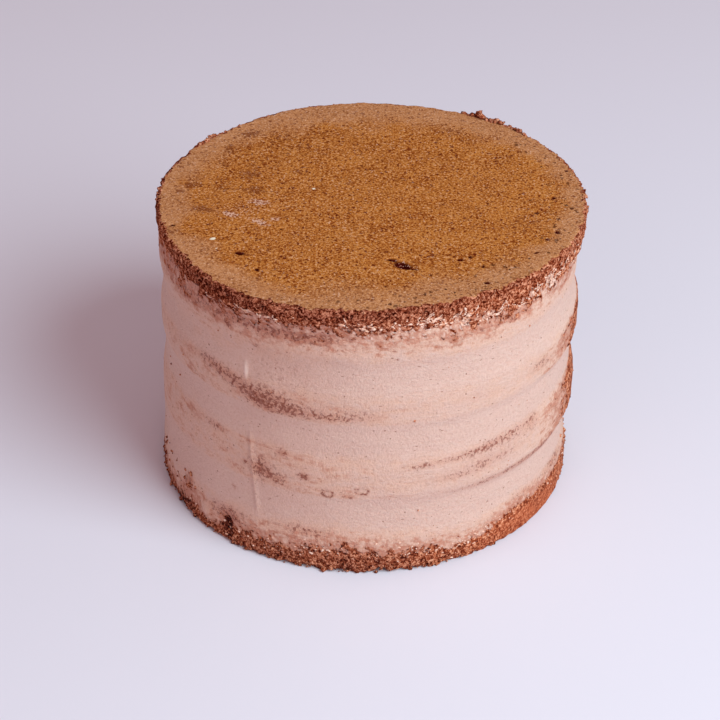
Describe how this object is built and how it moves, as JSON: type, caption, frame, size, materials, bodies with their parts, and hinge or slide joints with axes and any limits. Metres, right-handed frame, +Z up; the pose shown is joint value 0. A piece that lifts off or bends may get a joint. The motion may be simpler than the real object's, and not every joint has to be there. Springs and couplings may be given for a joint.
{
  "type": "layer cake",
  "caption": "Tall round uncut layer cake of chocolate sponge and mocha cream, with a thin scraped cream coat that leaves the crumb bare at the top and bottom edges.",
  "frame": {"origin": "centre of the flat base the cake stands on", "axes": "+Z up, +X to the right and -Y to the front as seen by someone facing the cake"},
  "size_m": [0.1816, 0.18, 0.128],
  "materials": {
    "chocolate_sponge": null,
    "baked_crust": null,
    "mocha_cream": null
  },
  "bodies": {
    "root": {"sponge_bottom": "chocolate_sponge", "filling_lower": "mocha_cream", "sponge_lower": "chocolate_sponge", "filling_middle": "mocha_cream", "sponge_upper": "chocolate_sponge", "filling_upper": "mocha_cream", "sponge_top": "baked_crust", "cream_coat": "mocha_cream"}
  },
  "joints": []
}
